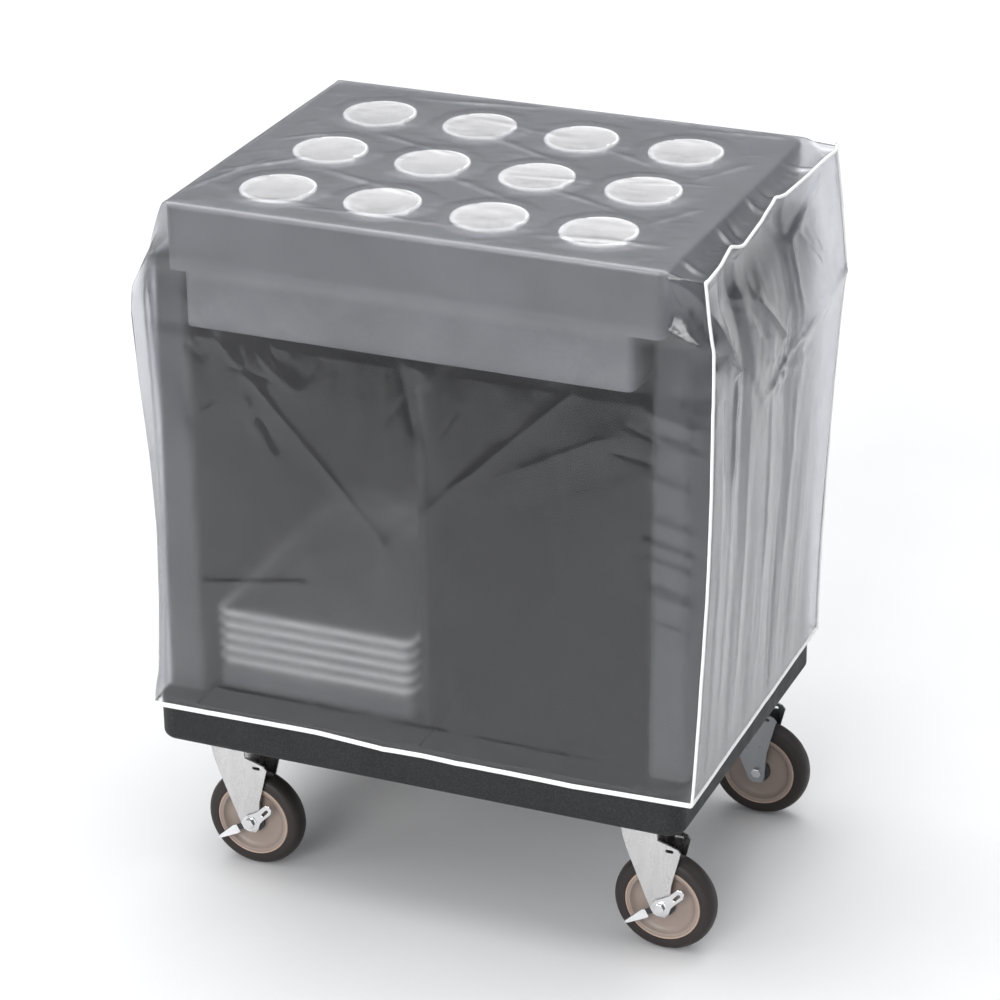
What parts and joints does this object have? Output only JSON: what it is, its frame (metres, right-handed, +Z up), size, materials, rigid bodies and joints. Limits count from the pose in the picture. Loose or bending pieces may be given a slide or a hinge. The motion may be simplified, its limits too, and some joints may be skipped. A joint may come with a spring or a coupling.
{
  "type": "covered tray and dish cart",
  "caption": "Covered tray and dish cart on casters: moulded body with two open bays, cutlery rack with removable cylinders on top, fitted clear vinyl cover.",
  "frame": {"origin": "on the floor, under the centre of the cart's footprint", "axes": "+Z up, -Y towards the open front of the cart, +X towards its right-hand end"},
  "size_m": [0.904, 0.5956, 1.0714],
  "materials": {
    "moulded_charcoal": "textured, speckled",
    "rack_grey": "textured",
    "white_plastic": "satin",
    "tray_grey": "satin",
    "tray_white": "satin",
    "zinc_plate": "zinc plated",
    "bright_zinc": "bright zinc plated",
    "hub_taupe": "satin",
    "tread_rubber": "matt",
    "clear_vinyl": "frosted, semi clear",
    "white_binding": "satin"
  },
  "bodies": {
    "cart_body": {"base_platform": "moulded_charcoal", "left_end_wall": "moulded_charcoal", "right_end_wall": "moulded_charcoal", "back_panel": "moulded_charcoal", "center_divider": "moulded_charcoal", "cutlery_rack": "rack_grey", "caster_mounting_bolts": "zinc_plate", "caster_front_left_plate": "zinc_plate", "caster_front_right_plate": "zinc_plate", "caster_rear_left_plate": "zinc_plate", "caster_rear_right_plate": "zinc_plate"},
    "cover": {"cover_main_panel": "clear_vinyl", "cover_left_end": "clear_vinyl", "cover_right_end": "clear_vinyl", "cover_left_piping": "white_binding", "cover_right_piping": "white_binding", "cover_hem_piping": "white_binding"},
    "tray_stack": {"grey_trays": "tray_grey", "white_tray_01": "tray_white", "white_tray_02": "tray_white", "white_tray_03": "tray_white", "white_tray_04": "tray_white", "white_tray_05": "tray_white"},
    "cylinder_01": {"cutlery_cylinder_01": "white_plastic"},
    "cylinder_02": {"cutlery_cylinder_02": "white_plastic"},
    "cylinder_03": {"cutlery_cylinder_03": "white_plastic"},
    "cylinder_04": {"cutlery_cylinder_04": "white_plastic"},
    "cylinder_05": {"cutlery_cylinder_05": "white_plastic"},
    "cylinder_06": {"cutlery_cylinder_06": "white_plastic"},
    "cylinder_07": {"cutlery_cylinder_07": "white_plastic"},
    "cylinder_08": {"cutlery_cylinder_08": "white_plastic"},
    "cylinder_09": {"cutlery_cylinder_09": "white_plastic"},
    "cylinder_10": {"cutlery_cylinder_10": "white_plastic"},
    "cylinder_11": {"cutlery_cylinder_11": "white_plastic"},
    "cylinder_12": {"cutlery_cylinder_12": "white_plastic"},
    "front_left_swivel": {"caster_front_left_fork": "bright_zinc", "caster_front_left_axle_bolt": "bright_zinc"},
    "front_left_wheel": {"caster_front_left_hub": "hub_taupe", "caster_front_left_tyre": "tread_rubber"},
    "front_left_brake": {"caster_front_left_brake_lever": "bright_zinc"},
    "front_right_swivel": {"caster_front_right_fork": "bright_zinc", "caster_front_right_axle_bolt": "bright_zinc"},
    "front_right_wheel": {"caster_front_right_hub": "hub_taupe", "caster_front_right_tyre": "tread_rubber"},
    "front_right_brake": {"caster_front_right_brake_lever": "bright_zinc"},
    "rear_left_swivel": {"caster_rear_left_fork": "bright_zinc", "caster_rear_left_axle_bolt": "bright_zinc"},
    "rear_left_wheel": {"caster_rear_left_hub": "hub_taupe", "caster_rear_left_tyre": "tread_rubber"},
    "rear_right_swivel": {"caster_rear_right_fork": "bright_zinc", "caster_rear_right_axle_bolt": "bright_zinc"},
    "rear_right_wheel": {"caster_rear_right_hub": "hub_taupe", "caster_rear_right_tyre": "tread_rubber"}
  },
  "joints": [
    {"name": "cover_lift", "type": "slide", "parent": "cart_body", "child": "cover", "axis": [0, 0, 1], "range_m": [0, 0.85]},
    {"name": "tray_slide", "type": "slide", "parent": "cart_body", "child": "tray_stack", "axis": [0, -1, 0], "range_m": [0, 0.33]},
    {"name": "cylinder_01_lift", "type": "slide", "parent": "cart_body", "child": "cylinder_01", "axis": [0, 0, 1], "range_m": [0, 0.15]},
    {"name": "cylinder_02_lift", "type": "slide", "parent": "cart_body", "child": "cylinder_02", "axis": [0, 0, 1], "range_m": [0, 0.15]},
    {"name": "cylinder_03_lift", "type": "slide", "parent": "cart_body", "child": "cylinder_03", "axis": [0, 0, 1], "range_m": [0, 0.15]},
    {"name": "cylinder_04_lift", "type": "slide", "parent": "cart_body", "child": "cylinder_04", "axis": [0, 0, 1], "range_m": [0, 0.15]},
    {"name": "cylinder_05_lift", "type": "slide", "parent": "cart_body", "child": "cylinder_05", "axis": [0, 0, 1], "range_m": [0, 0.15]},
    {"name": "cylinder_06_lift", "type": "slide", "parent": "cart_body", "child": "cylinder_06", "axis": [0, 0, 1], "range_m": [0, 0.15]},
    {"name": "cylinder_07_lift", "type": "slide", "parent": "cart_body", "child": "cylinder_07", "axis": [0, 0, 1], "range_m": [0, 0.15]},
    {"name": "cylinder_08_lift", "type": "slide", "parent": "cart_body", "child": "cylinder_08", "axis": [0, 0, 1], "range_m": [0, 0.15]},
    {"name": "cylinder_09_lift", "type": "slide", "parent": "cart_body", "child": "cylinder_09", "axis": [0, 0, 1], "range_m": [0, 0.15]},
    {"name": "cylinder_10_lift", "type": "slide", "parent": "cart_body", "child": "cylinder_10", "axis": [0, 0, 1], "range_m": [0, 0.15]},
    {"name": "cylinder_11_lift", "type": "slide", "parent": "cart_body", "child": "cylinder_11", "axis": [0, 0, 1], "range_m": [0, 0.15]},
    {"name": "cylinder_12_lift", "type": "slide", "parent": "cart_body", "child": "cylinder_12", "axis": [0, 0, 1], "range_m": [0, 0.15]},
    {"name": "front_left_swivel", "type": "hinge", "parent": "cart_body", "child": "front_left_swivel", "pos_m": [-0.325, -0.209, 0.2], "axis": [0, 0, 1], "continuous": true},
    {"name": "front_left_roll", "type": "hinge", "parent": "front_left_swivel", "child": "front_left_wheel", "pos_m": [-0.291, -0.209, 0.0762], "axis": [0, 1, 0], "continuous": true},
    {"name": "front_left_brake", "type": "hinge", "parent": "front_left_swivel", "child": "front_left_brake", "pos_m": [-0.291, -0.209, 0.0762], "axis": [0, 1, 0], "range_deg": [0, 40]},
    {"name": "front_right_swivel", "type": "hinge", "parent": "cart_body", "child": "front_right_swivel", "pos_m": [0.325, -0.209, 0.2], "axis": [0, 0, 1], "continuous": true},
    {"name": "front_right_roll", "type": "hinge", "parent": "front_right_swivel", "child": "front_right_wheel", "pos_m": [0.359, -0.209, 0.0762], "axis": [0, 1, 0], "continuous": true},
    {"name": "front_right_brake", "type": "hinge", "parent": "front_right_swivel", "child": "front_right_brake", "pos_m": [0.359, -0.209, 0.0762], "axis": [0, 1, 0], "range_deg": [0, 40]},
    {"name": "rear_left_swivel", "type": "hinge", "parent": "cart_body", "child": "rear_left_swivel", "pos_m": [-0.325, 0.209, 0.2], "axis": [0, 0, 1], "continuous": true},
    {"name": "rear_left_roll", "type": "hinge", "parent": "rear_left_swivel", "child": "rear_left_wheel", "pos_m": [-0.291, 0.209, 0.0762], "axis": [0, 1, 0], "continuous": true},
    {"name": "rear_right_swivel", "type": "hinge", "parent": "cart_body", "child": "rear_right_swivel", "pos_m": [0.325, 0.209, 0.2], "axis": [0, 0, 1], "continuous": true},
    {"name": "rear_right_roll", "type": "hinge", "parent": "rear_right_swivel", "child": "rear_right_wheel", "pos_m": [0.359, 0.209, 0.0762], "axis": [0, 1, 0], "continuous": true}
  ],
  "couplings": [
    {"joint": "tray_slide", "follows": "cover_lift", "ratio": 0.38},
    {"joint": "cylinder_01_lift", "follows": "cover_lift", "ratio": 0.17},
    {"joint": "cylinder_02_lift", "follows": "cover_lift", "ratio": 0.17},
    {"joint": "cylinder_03_lift", "follows": "cover_lift", "ratio": 0.17},
    {"joint": "cylinder_04_lift", "follows": "cover_lift", "ratio": 0.17},
    {"joint": "cylinder_05_lift", "follows": "cover_lift", "ratio": 0.17},
    {"joint": "cylinder_06_lift", "follows": "cover_lift", "ratio": 0.17},
    {"joint": "cylinder_07_lift", "follows": "cover_lift", "ratio": 0.17},
    {"joint": "cylinder_08_lift", "follows": "cover_lift", "ratio": 0.17},
    {"joint": "cylinder_09_lift", "follows": "cover_lift", "ratio": 0.17},
    {"joint": "cylinder_10_lift", "follows": "cover_lift", "ratio": 0.17},
    {"joint": "cylinder_11_lift", "follows": "cover_lift", "ratio": 0.17},
    {"joint": "cylinder_12_lift", "follows": "cover_lift", "ratio": 0.17}
  ]
}
